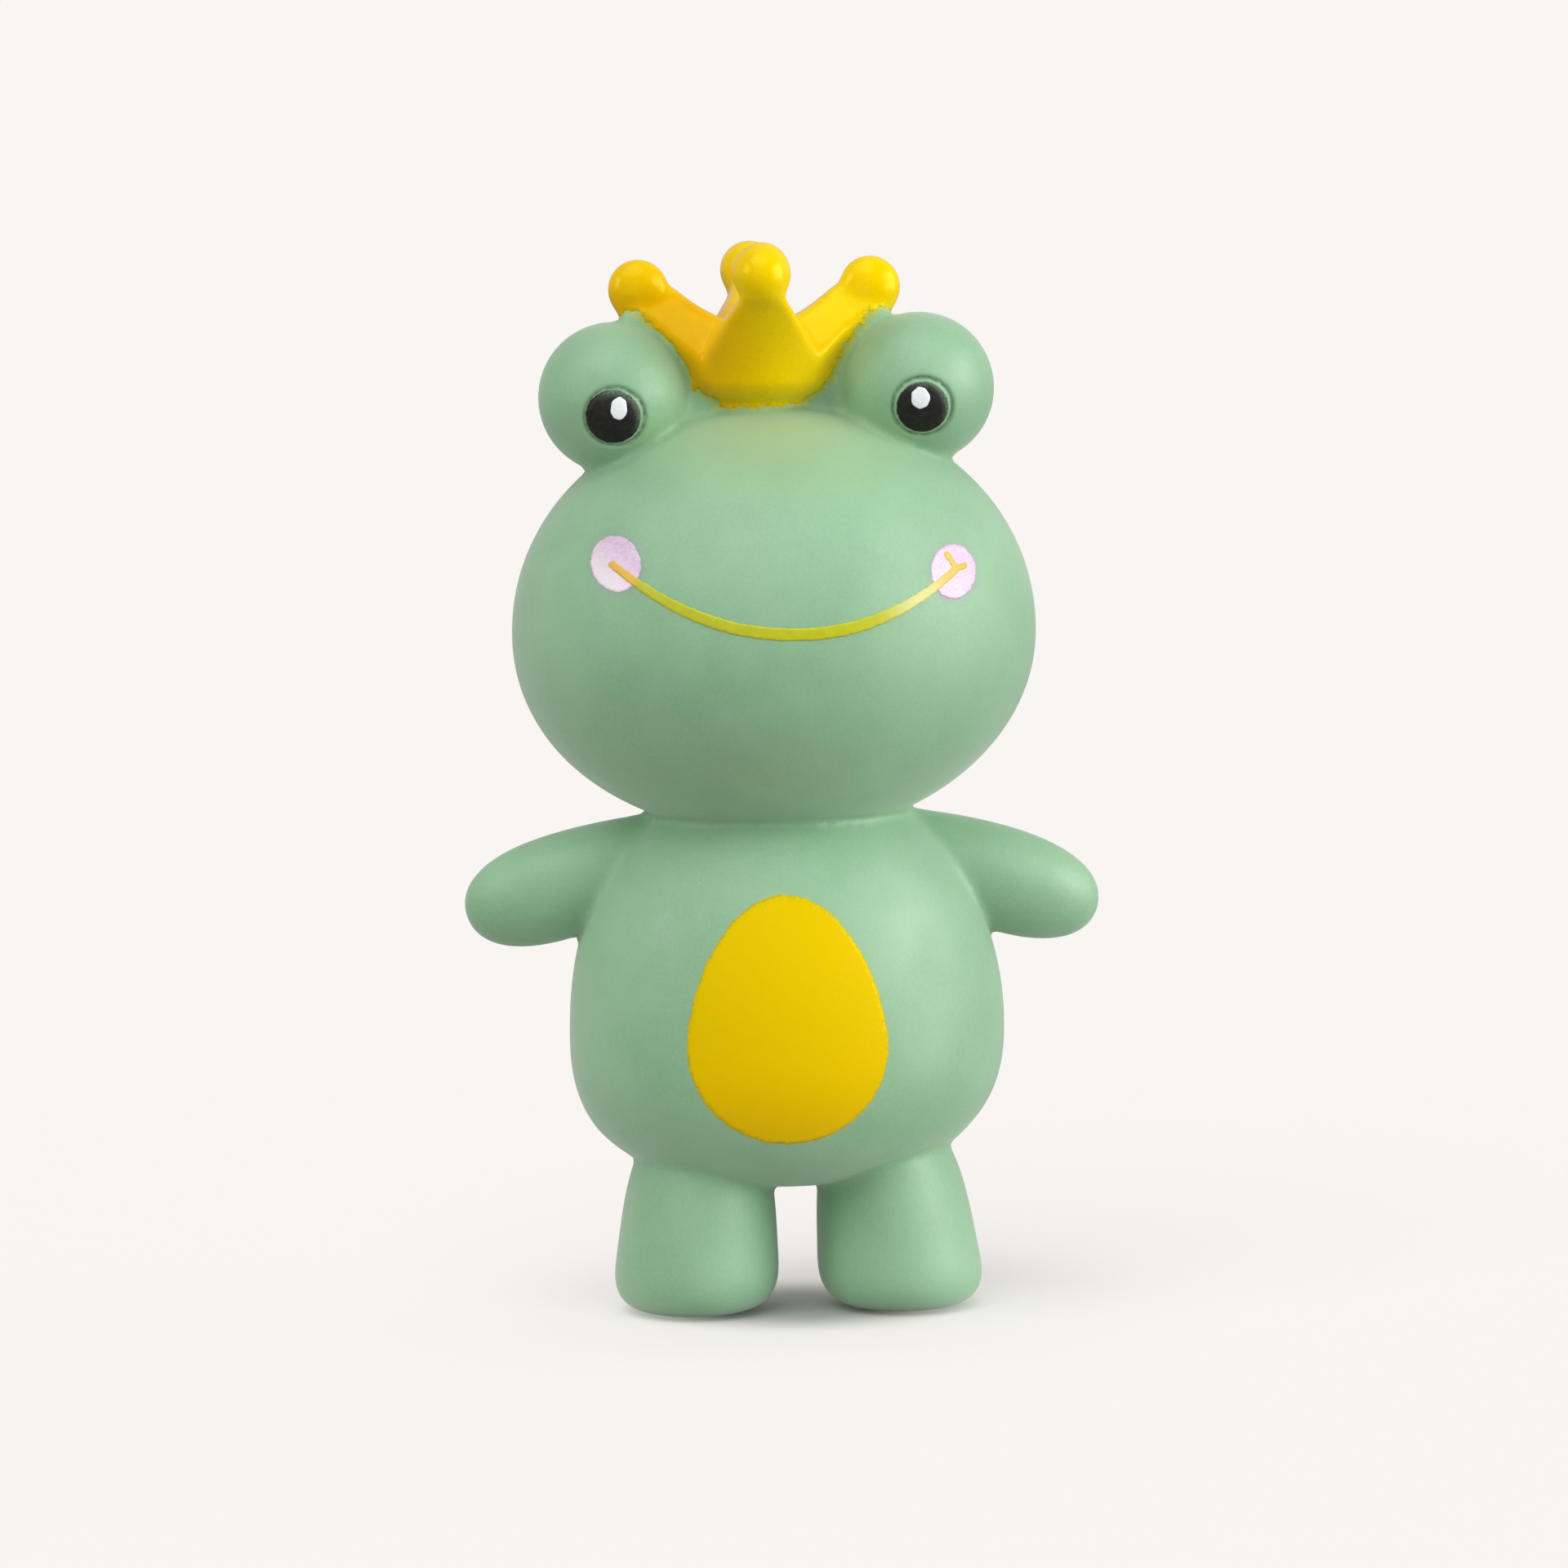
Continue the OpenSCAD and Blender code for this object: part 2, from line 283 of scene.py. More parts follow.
def crown_field(p):
    """A flared crown: four points that narrow as they rise, with a ball on each tip."""
    d = crown_plan(p)
    z = d[..., 2]
    radius = np.hypot(d[..., 0], d[..., 1])
    up = np.maximum(z - CROWN_FOOT_Z, 0)
    flare = CROWN_FOOT_RADIUS + 0.25 * up + 0.028 * up ** 2 - 0.27 * np.maximum(3 - up, 0) ** 2
    outside = (radius - flare) * 0.78
    drop = CROWN_NECK_Z - z
    half_w = CROWN_NECK_HALF_W + np.where(drop > 0, 0.75 - 0.02 * drop, 0.4) * drop
    points = []
    for axis in range(2):
        reach, across = d[..., axis], d[..., 1 - axis]
        flank = (across - half_w) * 0.78
        crest = (z - CROWN_MIDDLE_Z - 0.043 * reach ** 2) * 0.75
        along = 0.476 * (reach - CROWN_BALL_REACH) + 0.88 * (z - CROWN_BALL_Z[axis])
        point = smooth_max(flank, crest, 2.2)
        points.append(smooth_max(point, along + 1.6, 2.0))
    shape = smooth_max(smooth_min(points[0], points[1], 1.2), outside, 1.8)
    shape = np.maximum(shape, CROWN_FOOT_Z - 10 - z)
    for axis in range(2):
        tip = np.zeros(3)
        tip[axis] = CROWN_BALL_REACH
        tip[2] = CROWN_BALL_Z[axis]
        shape = smooth_min(shape, ball(d, tip, CROWN_BALL_RADIUS), 1.8)
    return shape


def web_field(p):
    """The green web that joins each eye dome to the crown's side point."""
    d = crown_plan(p)
    roof = (d[..., 2] - 121.9 - 1.1 * (d[..., 0] - 7)) * 0.67
    roof = smooth_max(roof, d[..., 2] - 130.7, 1.0)
    web = smooth_max(d[..., 1] - 4.2, roof, 1.6)
    return np.maximum(smooth_max(web, d[..., 0] - 17.6, 1.6), 112 - d[..., 2])


def body_field(p):
    """The torso with its arms and legs."""
    body = smooth_min(torso_field(p), arm_field(mirrored_for_arms(p)), ARM_BLEND)
    return smooth_min(body, leg_field(mirrored_for_legs(p)), LEG_BLEND)


def outer_field(p):
    """The outside of the rubber moulding, without the squeaker's seat."""
    head = smooth_min(head_field(p), dome_field(mirrored(p)), DOME_BLEND)
    head = smooth_min(head, web_field(p), CROWN_BLEND)
    head = smooth_min(head, crown_field(p), CROWN_BLEND)
    return smooth_min(body_field(p), head, NECK_BLEND)


def round_plug(p, y_low, y_high, radius):
    """A cylinder along Y on the squeaker's axis."""
    radial = np.sqrt(p[..., 0] ** 2 + (p[..., 2] - SQUEAKER_Z) ** 2)
    return np.maximum(radial - radius, np.maximum(y_low - p[..., 1], p[..., 1] - y_high))


def skin_field(p):
    """The outside with the flat seat that the squeaker's flange lies in."""
    seat = round_plug(p, SEAT_Y, SEAT_Y + 20, FLANGE_RADIUS + 0.25)
    return smooth_max(outer_field(p), -seat, 0.5)


def moulding_field(p):
    """The whole hollow moulding, with its wall, its boss and the hole that grips the squeaker."""
    head = smooth_min(head_field(p), ball(mirrored(p), DOME_CENTRE, DOME_RADIUS), 3.0)
    hollow = smooth_min(body_field(p), head, 3.4) + WALL
    boss = round_plug(p, SEAT_Y - BOSS_DEPTH, SEAT_Y + 2, BOSS_RADIUS)
    hollow = smooth_max(hollow, -boss, 0.8)
    hole = round_plug(p, SEAT_Y - 20, SEAT_Y + 5, GRIP_HOLE_RADIUS)
    hollow = smooth_min(hollow, np.maximum(hole, SEAT_Y - BOSS_DEPTH - 1 - p[..., 1]), 0.3)
    return smooth_max(skin_field(p), -hollow, 0.4)


def gradient(field, p, step=0.02):
    g = np.empty_like(p)
    for axis in range(3):
        nudge = np.zeros(3)
        nudge[axis] = step
        g[..., axis] = (field(p + nudge) - field(p - nudge)) / (2 * step)
    return g


def onto_surface(field, p, rounds=4, reach=0.6):
    """Newton steps that bring points near the surface onto it."""
    for _ in range(rounds):
        g = gradient(field, p)
        shift = field(p)[..., None] * g / np.maximum((g * g).sum(-1, keepdims=True), 0.05)
        size = np.sqrt((shift * shift).sum(-1, keepdims=True))
        p = p - shift * np.minimum(1.0, reach / np.maximum(size, 1e-9))
    return p


def unit_normals(field, p):
    g = gradient(field, p)
    return g / np.maximum(np.sqrt((g * g).sum(-1, keepdims=True)), 1e-9)


# ---------------------------------------------------------------- meshing

def grid_lines(low, high, step):
    count = int(math.ceil((high - low) / step)) + 1
    return low + step * np.arange(count)


def surface_nets(field, lines):
    """Closed quad mesh of field = 0 over a grid with the given lines, as (points, quads)."""
    nx, ny, nz = (len(line) for line in lines)
    values = np.empty((nx, ny, nz))
    yy, zz = np.meshgrid(lines[1], lines[2], indexing="ij")
    for i, x in enumerate(lines[0]):
        values[i] = field(np.stack([np.full_like(yy, x), yy, zz], -1))
    inside = values < 0
    cells = (nx - 1, ny - 1, nz - 1)
    total = np.zeros((3, cells[0] * cells[1] * cells[2]))
    count = np.zeros(cells[0] * cells[1] * cells[2])
    quads = []
    for axis in range(3):
        lower = [slice(None)] * 3
        upper = [slice(None)] * 3
        lower[axis], upper[axis] = slice(None, -1), slice(1, None)
        crossing = np.argwhere(inside[tuple(lower)] != inside[tuple(upper)])
        after = crossing.copy()
        after[:, axis] += 1
        v0, v1 = values[tuple(crossing.T)], values[tuple(after.T)]
        part = v0 / (v0 - v1)
        point = np.stack([lines[a][crossing[:, a]] for a in range(3)], -1)
        point[:, axis] += part * (lines[axis][after[:, axis]] - lines[axis][crossing[:, axis]])
        b, c = (axis + 1) % 3, (axis + 2) % 3
        corner_ids = []
        for step_b, step_c in ((-1, -1), (0, -1), (0, 0), (-1, 0)):
            cell = crossing.copy()
            cell[:, b] += step_b
            cell[:, c] += step_c
            flat = (cell[:, 0] * cells[1] + cell[:, 1]) * cells[2] + cell[:, 2]
            corner_ids.append(flat)
            for a in range(3):
                total[a] += np.bincount(flat, point[:, a], len(count))
            count += np.bincount(flat, minlength=len(count))
        ring = np.stack(corner_ids, -1)
        quads.append(np.where((v0 < 0)[:, None], ring, ring[:, ::-1]))
    used = np.flatnonzero(count)
    renumber = np.full(len(count), -1)
    renumber[used] = np.arange(len(used))
    points = (total[:, used] / count[used]).T
    return points, renumber[np.concatenate(quads)]


def relax(points, quads, field, rounds=3):
    """Evens out the quads by moving points towards their neighbours, then back onto the surface."""
    pairs = np.concatenate([quads[:, [k, (k + 1) % 4]] for k in range(4)])
    count = np.maximum(np.bincount(pairs[:, 0], minlength=len(points)), 1)
    for _ in range(rounds):
        total = [np.bincount(pairs[:, 0], points[pairs[:, 1], a], len(points)) for a in range(3)]
        points = points + 0.5 * (np.stack(total, -1) / count[:, None] - points)
        points = onto_surface(field, points, 1)
    return onto_surface(field, points, 2)


def make_object(name, points, faces, smooth=True):
    """A Blender object from millimetre points."""
    mesh = bpy.data.meshes.new(name)
    mesh.from_pydata((np.asarray(points) * MM).tolist(), [], [list(map(int, f)) for f in faces])
    mesh.update()
    if smooth:
        mesh.shade_smooth()
    obj = bpy.data.objects.new(name, mesh)
    bpy.context.scene.collection.objects.link(obj)
    return obj


def add_attribute(obj, name, values):
    """A number on each vertex that the materials read."""
    layer = obj.data.attributes.new(name, "FLOAT", "POINT")
    layer.data.foreach_set("value", np.asarray(values, dtype=np.float32))


def film_attribute(film, name, values):
    """The same for a film, whose front and back sheets share their numbers."""
    add_attribute(film, name, np.concatenate([values, values]))


def ripple(a, b, seed, scale):
    """Smooth repeatable noise of about -1 to 1 over two coordinates, features about scale across."""
    total = np.zeros_like(a)
    for k in range(7):
        angle = 2.399 * (k + 1) + 0.7 * seed
        pitch = (1 + 0.37 * k) / scale
        along = a * math.cos(angle) + b * math.sin(angle)
        total = total + np.sin(pitch * along * 2.2 + 1.3 * k + seed)
    return total / 3.5


# ---------------------------------------------------------------- paint outlines

BELLY_X, BELLY_Z = -2.0, 37.1
BELLY_HALF_W, BELLY_UP, BELLY_DOWN = 12.9, 19.2, 12.8
CHEEK_X = {"left": 20.2, "right": -22.8}
CHEEK_Z = {"left": 97.5, "right": 99.3}
CHEEK_HALF_W = 3.1
CHEEK_HALF_H = {"left": 3.45, "right": 3.5}
SMILE_LOW_Z = 90.4
SMILE_X = -1.3
SMILE_HALF_SPAN = 21.9
SMILE_RISE = 8.1
SMILE_TILT = -0.68
SMILE_HALF_WIDTH = 0.78
DOT_RADIUS = 1.2
FILM = 0.05
SUNK = 0.03


def smile_path(u):
    """A point on the smile's centre line in X and Z; u runs from -1, the toy's right, to 1."""
    height = SMILE_LOW_Z + SMILE_RISE * np.abs(u) ** 2.15 + SMILE_TILT * u
    return SMILE_X + SMILE_HALF_SPAN * u, height


def belly_mask(x, z):
    """Below zero inside the belly patch, in about millimetres."""
    dx, dz = x - BELLY_X, z - BELLY_Z
    dx = dx * (1 + 0.1 * np.clip(dz / BELLY_UP, 0, 1))
    half_h = np.where(dz > 0, BELLY_UP, BELLY_DOWN)
    level = np.sqrt((dx / BELLY_HALF_W) ** 2 + (dz / half_h) ** 2)
    return (level - 1) * BELLY_HALF_W + 0.06 * ripple(x, z, 3, 1.6) + 0.03 * ripple(x, z, 5, 0.5)


def cheek_mask(side):
    def mask(x, z):
        dx, dz = x - CHEEK_X[side], z - CHEEK_Z[side]
        level = np.sqrt((dx / CHEEK_HALF_W) ** 2 + (dz / CHEEK_HALF_H[side]) ** 2)
        ragged = 0.07 * ripple(x, z, 8, 0.5) + 0.04 * ripple(x, z, 2, 0.2)
        return (level - 1) * CHEEK_HALF_W + ragged
    return mask


def distance_to_line(x, z, points):
    """Distance from each place to a chain of straight pieces, and how far along it, 0 to 1."""
    best = np.full(x.shape, 1e9)
    where = np.zeros(x.shape)
    count = len(points) - 1
    for k in range(count):
        ax, az = points[k]
        bx, bz = points[k + 1]
        lx, lz = bx - ax, bz - az
        t = np.clip(((x - ax) * lx + (z - az) * lz) / (lx * lx + lz * lz), 0, 1)
        d = np.hypot(x - ax - t * lx, z - az - t * lz)
        closer = d < best
        best = np.where(closer, d, best)
        where = np.where(closer, (k + t) / count, where)
    return best, where


def smile_mask(x, z):
    """The line of the mouth, thinner at its ends, with a small fork at the toy's left end."""
    line = [tuple(float(c) for c in smile_path(u)) for u in np.linspace(-1, 1, 60)]
    d, along = distance_to_line(x, z, line)
    width = SMILE_HALF_WIDTH * (0.66 + 0.34 * np.clip(1.3 * np.sin(math.pi * along), 0, 1))
    mask = d - width
    end_x, end_z = line[-1]
    for tip_x, tip_z in ((end_x - 1.25, end_z + 1.9), (end_x + 1.15, end_z + 0.3)):
        branch, _ = distance_to_line(x, z, [(end_x, end_z), (tip_x, tip_z)])
        mask = np.minimum(mask, branch - 0.4)
    return mask + 0.05 * ripple(x, z, 4, 0.6)


def black_mask(shift, radius):
    """The black disc, seen along the pupil's own axis."""
    def mask(x, z):
        return np.hypot(x - shift[0], z - shift[1]) - radius + 0.05 * ripple(x, z, 6, 0.7)
    return mask


def highlight_mask(shift, narrow, squash, seed):
    """The white dot on the black; narrow and squash divide its radius across and up."""
    def mask(x, z):
        dx, dz = x - shift[0], z - shift[1]
        return np.hypot(dx * narrow, dz * squash) - DOT_RADIUS + 0.07 * ripple(x, z, seed, 1.0)
    return mask


# ---------------------------------------------------------------- paint films

def outward(cells_kept):
    """Corner numbers of each kept cell of a grid, counter-clockwise as seen from the front."""
    i, k = np.nonzero(cells_kept)
    wide = cells_kept.shape[1] + 1
    return np.stack([i * wide + k, (i + 1) * wide + k, (i + 1) * wide + k + 1, i * wide + k + 1], -1)


def rim_edges(quads):
    """The directed edges that only one quad has."""
    pairs = np.concatenate([quads[:, [k, (k + 1) % 4]] for k in range(4)])
    seen = {(a, b) for a, b in pairs.tolist()}
    return [(a, b) for a, b in seen if (b, a) not in seen]


def closed_film(name, top, bottom, quads):
    """A closed piece from a front sheet, a matching back sheet and the rim between them."""
    count = len(top)
    faces = quads.tolist() + (quads[:, ::-1] + count).tolist()
    faces += [(b, a, a + count, b + count) for a, b in rim_edges(quads)]
    return make_object(name, np.concatenate([top, bottom]), faces)


def sphere_trace(start, direction, field, rounds=60):
    p = start.copy()
    for _ in range(rounds):
        p = p + direction * (0.85 * field(p))[:, None]
    return p


# The plane that the belly, cheeks and smile are drawn on: origin, across, up and out
FRONT_PLANE = tuple(np.array(v, dtype=float) for v in ((0, -60, 0), (1, 0, 0), (0, 0, 1), (0, -1, 0)))


def paint_film(name, mask, low, high, step, plane=FRONT_PLANE, lift=FILM):
    """A film laid on the skin wherever mask is below zero, drawn on a plane in front of the skin.

    It is lift thick and reaches SUNK into the skin. Returns it with its two drawing coordinates.
    """
    origin, across, up, out = plane
    xs = grid_lines(low[0], high[0], step)
    zs = grid_lines(low[1], high[1], step)
    gx, gz = np.meshgrid(xs, zs, indexing="ij")
    middle = mask((gx[1:, 1:] + gx[:-1, :-1]) / 2, (gz[1:, 1:] + gz[:-1, :-1]) / 2)
    quads = outward(middle < 0)
    used, flat = np.unique(quads, return_inverse=True)
    quads = flat.reshape(quads.shape)
    x, z = gx.ravel()[used], gz.ravel()[used]
    edge = np.unique(np.array(rim_edges(quads)).ravel())
    for _ in range(3):
        e = 0.02
        value = mask(x[edge], z[edge])
        slope_x = (mask(x[edge] + e, z[edge]) - mask(x[edge] - e, z[edge])) / (2 * e)
        slope_z = (mask(x[edge], z[edge] + e) - mask(x[edge], z[edge] - e)) / (2 * e)
        scale = value / np.maximum(slope_x ** 2 + slope_z ** 2, 0.2)
        scale = np.clip(scale, -0.5 * step, 0.5 * step)
        x[edge] -= scale * slope_x
        z[edge] -= scale * slope_z
    start = origin + x[:, None] * across + z[:, None] * up
    points = sphere_trace(start, -out, skin_field)
    normals = unit_normals(skin_field, points)
    thickness = np.full(len(points), lift)
    thickness[edge] = lift * 0.45
    film = closed_film(name, points + normals * thickness[:, None], points - normals * SUNK, quads)
    return film, x, z


def pupil_plane(sign):
    """Plane in front of a pupil; sign is 1 for the toy's left eye and -1 for its right."""
    centre, across, up, out = pupil_frame()
    middle = leaned(centre * np.array([sign, 1.0, 1.0]) + out * (DOME_RADIUS + PUPIL_RISE))
    return middle + out * 3, across, up, out


# ---------------------------------------------------------------- procedural materials

def srgb(red, green, blue):
    """Linear colour from 0 to 255 screen values."""
    linear = []
    for value in (red, green, blue):
        c = value / 255
        linear.append(c / 12.92 if c <= 0.04045 else ((c + 0.055) / 1.055) ** 2.4)
    return (*linear, 1.0)


# A Mix node has one set of sockets for each kind of value. These are the ones for colours.
MIX_COLOUR_SOCKETS = (0, 6, 7)
MIX_COLOUR_OUTPUT = 2


def set_range(node, low, high, out_low, out_high):
    """The four limits of a Map Range node."""
    names = ("From Min", "From Max", "To Min", "To Max")
    for name, number in zip(names, (low, high, out_low, out_high)):
        node.inputs[name].default_value = number


class Shader:
    """A material's node tree with short helpers for the nodes that the finishes share."""

    def __init__(self, name):
        self.material = bpy.data.materials.new(name)
        self.material.use_nodes = True
        self.nodes = self.material.node_tree.nodes
        self.links = self.material.node_tree.links
        self.surface = self.nodes["Principled BSDF"]
        self.place = self.nodes.new("ShaderNodeTexCoord").outputs["Object"]

    def set(self, **values):
        """Fixed numbers on the shader's own sockets; underscores stand for spaces."""
        for key, value in values.items():
            self.surface.inputs[key.replace("_", " ")].default_value = value

    def link(self, output, socket):
        self.links.new(output, self.surface.inputs[socket])

    def noise(self, size_mm, detail=3.0, rough=0.5):
        """Noise from 0 to 1 with features about size_mm across."""
        node = self.nodes.new("ShaderNodeTexNoise")
        node.inputs["Scale"].default_value = 1 / (size_mm * MM)
        node.inputs["Detail"].default_value = detail
        node.inputs["Roughness"].default_value = rough
        self.links.new(self.place, node.inputs["Vector"])
        return node.outputs["Fac"]

    def cells(self, size_mm, output="Distance"):
        node = self.nodes.new("ShaderNodeTexVoronoi")
        node.inputs["Scale"].default_value = 1 / (size_mm * MM)
        self.links.new(self.place, node.inputs["Vector"])
        return node.outputs[output]

    def attribute(self, name):
        node = self.nodes.new("ShaderNodeAttribute")
        node.attribute_name = name
        return node.outputs["Fac"]

    def math(self, operation, a, b):
        node = self.nodes.new("ShaderNodeMath")
        node.operation = operation
        for socket, value in zip(node.inputs, (a, b)):
            if isinstance(value, (int, float)):
                socket.default_value = value
            else:
                self.links.new(value, socket)
        return node.outputs[0]

    def ramp(self, value, low, high, out_low=0.0, out_high=1.0):
        """value stretched from low..high to out_low..out_high, and held at the ends."""
        node = self.nodes.new("ShaderNodeMapRange")
        node.interpolation_type = "SMOOTHSTEP"
        set_range(node, low, high, out_low, out_high)
        self.links.new(value, node.inputs["Value"])
        return node.outputs["Result"]

    def mix(self, share, first, second):
        """A colour between two colours, each a colour or another node's output."""
        node = self.nodes.new("ShaderNodeMix")
        node.data_type = "RGBA"
        for number, value in zip(MIX_COLOUR_SOCKETS, (share, first, second)):
            socket = node.inputs[number]
            if isinstance(value, (int, float, tuple)):
                socket.default_value = value
            else:
                self.links.new(value, socket)
        return node.outputs[MIX_COLOUR_OUTPUT]

    def bump(self, height, depth_mm, strength=1.0):
        node = self.nodes.new("ShaderNodeBump")
        node.inputs["Strength"].default_value = strength
        node.inputs["Distance"].default_value = depth_mm * MM
        self.links.new(height, node.inputs["Height"])
        self.link(node.outputs["Normal"], "Normal")


GREEN = srgb(140, 189, 146)
GREEN_DEEP = srgb(129, 179, 135)
GREEN_WARM = srgb(150, 180, 120)
# Each: the light yellow, the deeper yellow of its painted shade, and the gloss tint
BELLY_YELLOW = (srgb(233, 199, 0), srgb(240, 196, 0), (1.0, 0.82, 0.05, 1.0))
CROWN_YELLOW = (srgb(250, 213, 0), srgb(238, 176, 0), (1.0, 0.84, 0.12, 1.0))
OLIVE = srgb(198, 203, 5)
ORANGE = srgb(236, 186, 60)
PINK = srgb(216, 185, 216)
PINK_LIGHT = srgb(230, 207, 230)
# Whitish colour of the cheeks' painted sheen
SHEEN_WHITE = srgb(248, 240, 243)
BLACK = srgb(24, 22, 21)
# Dark green for the painted shade in the ring grooves and for the black paint's smudge
SHADE_AND_SMUDGE_GREEN = srgb(62, 102, 62)
WHITE_DOT = srgb(246, 250, 252)
IVORY = srgb(228, 226, 216)
PAPER_COLOUR = (249, 245, 242)
PAPER = srgb(226, 221, 224)
PAPER_GLOWING = srgb(171, 168, 170)
# Glow at the edge of the painted contact shadow, 24 mm out; it falls to 0.05 between the feet
CONTACT_SHADOW_GLOW = 0.42
PAPER_GLOW = 0.695


def green_rubber():
    """Satin rubber: a little cloudy and grainy, specked, with spray mist round the paint and painted
    shade in the ring grooves round the pupils.
    """
    s = Shader("green_rubber")
    cloudy = s.ramp(s.noise(16, 4), 0.35, 0.68)
    colour = s.mix(cloudy, GREEN_DEEP, GREEN)
    grain = s.ramp(s.noise(0.55, 4, 0.6), 0.3, 0.7, 0.0, 0.16)
    colour = s.mix(grain, colour, srgb(168, 208, 171))
    colour = s.mix(s.math("MULTIPLY", s.attribute("warm"), 0.75), colour, GREEN_WARM)
    specks = s.ramp(s.cells(5.5), 0.006, 0.022, 1.0, 0.0)
    colour = s.mix(s.math("MULTIPLY", specks, 0.55), colour, srgb(228, 238, 226))
    dark_specks = s.ramp(s.cells(9.5), 0.004, 0.013, 1.0, 0.0)
    colour = s.mix(s.math("MULTIPLY", dark_specks, 0.5), colour, srgb(84, 120, 84))
    spray = s.ramp(s.noise(0.32, 4, 0.7), 0.36, 0.66)
    mist = s.math("MULTIPLY", s.attribute("yellow_mist"), s.math("ADD", spray, 0.25))
    colour = s.mix(s.ramp(mist, 0.2, 0.75), colour, srgb(190, 190, 20))
    smudge = s.math("MULTIPLY", s.attribute("black_mist"), s.math("ADD", s.noise(0.25, 4, 0.7), 0.25))
    colour = s.mix(s.ramp(smudge, 0.3, 0.8), colour, SHADE_AND_SMUDGE_GREEN)
    # Painted shade along the moulded ring groove round each pupil
    ring = s.math("MULTIPLY", s.attribute("groove"), s.ramp(s.noise(0.7, 3, 0.6), 0.3, 0.62, 0.25, 1.0))
    colour = s.mix(ring, colour, SHADE_AND_SMUDGE_GREEN)
    halo = s.math("MULTIPLY", s.attribute("pink_mist"), 0.35)
    colour = s.mix(halo, colour, srgb(150, 140, 160))
    s.link(colour, "Base Color")
    s.link(s.ramp(s.noise(6, 4), 0.3, 0.7, 0.5, 0.6), "Roughness")
    fine = s.math("MULTIPLY", s.noise(0.45, 3), 0.6)
    s.bump(s.math("ADD", fine, s.math("MULTIPLY", s.noise(5, 2), 2.0)), 0.035)
    s.set(Subsurface_Weight=0.18, Subsurface_Scale=0.002, Specular_IOR_Level=1.0)
    s.set(Sheen_Weight=0.45, Sheen_Roughness=0.45)
    s.surface.inputs["Subsurface Radius"].default_value = (0.7, 1.0, 0.6)
    return s.material


def yellow_paint(name, light, painted_shade, gloss, rough_low, rough_high):
    """Sprayed yellow: even colour apart from painted shade in a deeper yellow, a little thin in places,
    with fine orange peel.
    """
    s = Shader(name)
    # Painted shade: the colour goes towards the deeper yellow
    shade_share = s.math("MULTIPLY", s.attribute("painted_shade"), s.ramp(s.noise(7, 3), 0.3, 0.7, 0.75, 1.0))
    colour = s.mix(shade_share, light, painted_shade)
    thin = s.math("MULTIPLY", s.attribute("edge"), s.ramp(s.noise(0.3, 4, 0.7), 0.42, 0.6))
    colour = s.mix(s.math("MULTIPLY", thin, 0.75), colour, srgb(176, 178, 20))
    s.link(colour, "Base Color")
    s.link(s.ramp(s.noise(1.2, 3), 0.3, 0.7, rough_low, rough_high), "Roughness")
    s.bump(s.noise(0.6, 3), 0.03)
    s.set(Specular_Tint=gloss)
    return s.material


def pearl_paint():
    """Pink with pearly flakes, and a painted sheen that is whiter towards one side."""
    s = Shader("pearl_pink_paint")
    flakes = s.ramp(s.cells(0.22, "Color"), 0.2, 0.85)
    colour = s.mix(flakes, PINK, PINK_LIGHT)
    colour = s.mix(s.ramp(s.noise(2.5, 2), 0.4, 0.7, 0.0, 0.4), colour, srgb(214, 182, 216))
    # Painted sheen: the cheek's colour goes whiter towards one side
    colour = s.mix(s.math("MULTIPLY", s.attribute("painted_sheen"), 0.8), colour, SHEEN_WHITE)
    s.link(colour, "Base Color")
    s.link(s.ramp(s.noise(0.3, 3), 0.3, 0.7, 0.36, 0.5), "Roughness")
    s.bump(s.noise(0.28, 3), 0.03)
    s.set(Metallic=0.1, Specular_IOR_Level=0.6)
    return s.material


def smile_material():
    """Olive yellow, orange where it lies on the pink, with a painted cream highlight near the toy's
    left end.
    """
    s = Shader("olive_paint")
    colour = s.mix(s.ramp(s.noise(1.2, 3), 0.3, 0.7), OLIVE, srgb(190, 192, 4))
    colour = s.mix(s.attribute("over_pink"), colour, ORANGE)
    # Painted highlight: cream near the toy's left end
    colour = s.mix(s.math("MULTIPLY", s.attribute("painted_gloss"), 0.8), colour, srgb(226, 222, 150))
    s.link(colour, "Base Color")
    s.link(s.ramp(s.noise(0.5, 3), 0.3, 0.7, 0.36, 0.5), "Roughness")
    s.bump(s.noise(0.3, 3), 0.02)
    return s.material


def black_material():
    s = Shader("black_paint")
    colour = s.mix(s.ramp(s.noise(0.8, 3), 0.35, 0.7), BLACK, srgb(34, 32, 31))
    fade = s.math("MULTIPLY", s.attribute("fade"), s.ramp(s.noise(0.22, 4, 0.7), 0.3, 0.6))
    colour = s.mix(s.math("MULTIPLY", fade, 0.85), colour, srgb(112, 132, 112))
    s.link(colour, "Base Color")
    s.link(s.ramp(s.noise(0.5, 3), 0.3, 0.7, 0.42, 0.52), "Roughness")
    s.bump(s.noise(0.3, 3), 0.02)
    s.set(Specular_IOR_Level=0.28)
    return s.material


def white_material():
    s = Shader("white_paint")
    s.link(s.mix(s.ramp(s.noise(0.5, 3), 0.3, 0.7), WHITE_DOT, srgb(236, 242, 246)), "Base Color")
    s.link(s.ramp(s.noise(0.4, 2), 0.3, 0.7, 0.32, 0.42), "Roughness")
    s.bump(s.noise(0.4, 2), 0.02)
    return s.material


def moulded_plastic(name, light, dark, see_through=0.0):
    s = Shader(name)
    s.link(s.mix(s.ramp(s.noise(3, 4), 0.35, 0.7), light, dark), "Base Color")
    s.link(s.ramp(s.noise(1.0, 3), 0.3, 0.7, 0.3, 0.42), "Roughness")
    s.bump(s.noise(0.5, 3), 0.02)
    s.set(Subsurface_Weight=see_through, Subsurface_Scale=0.0015)
    return s.material


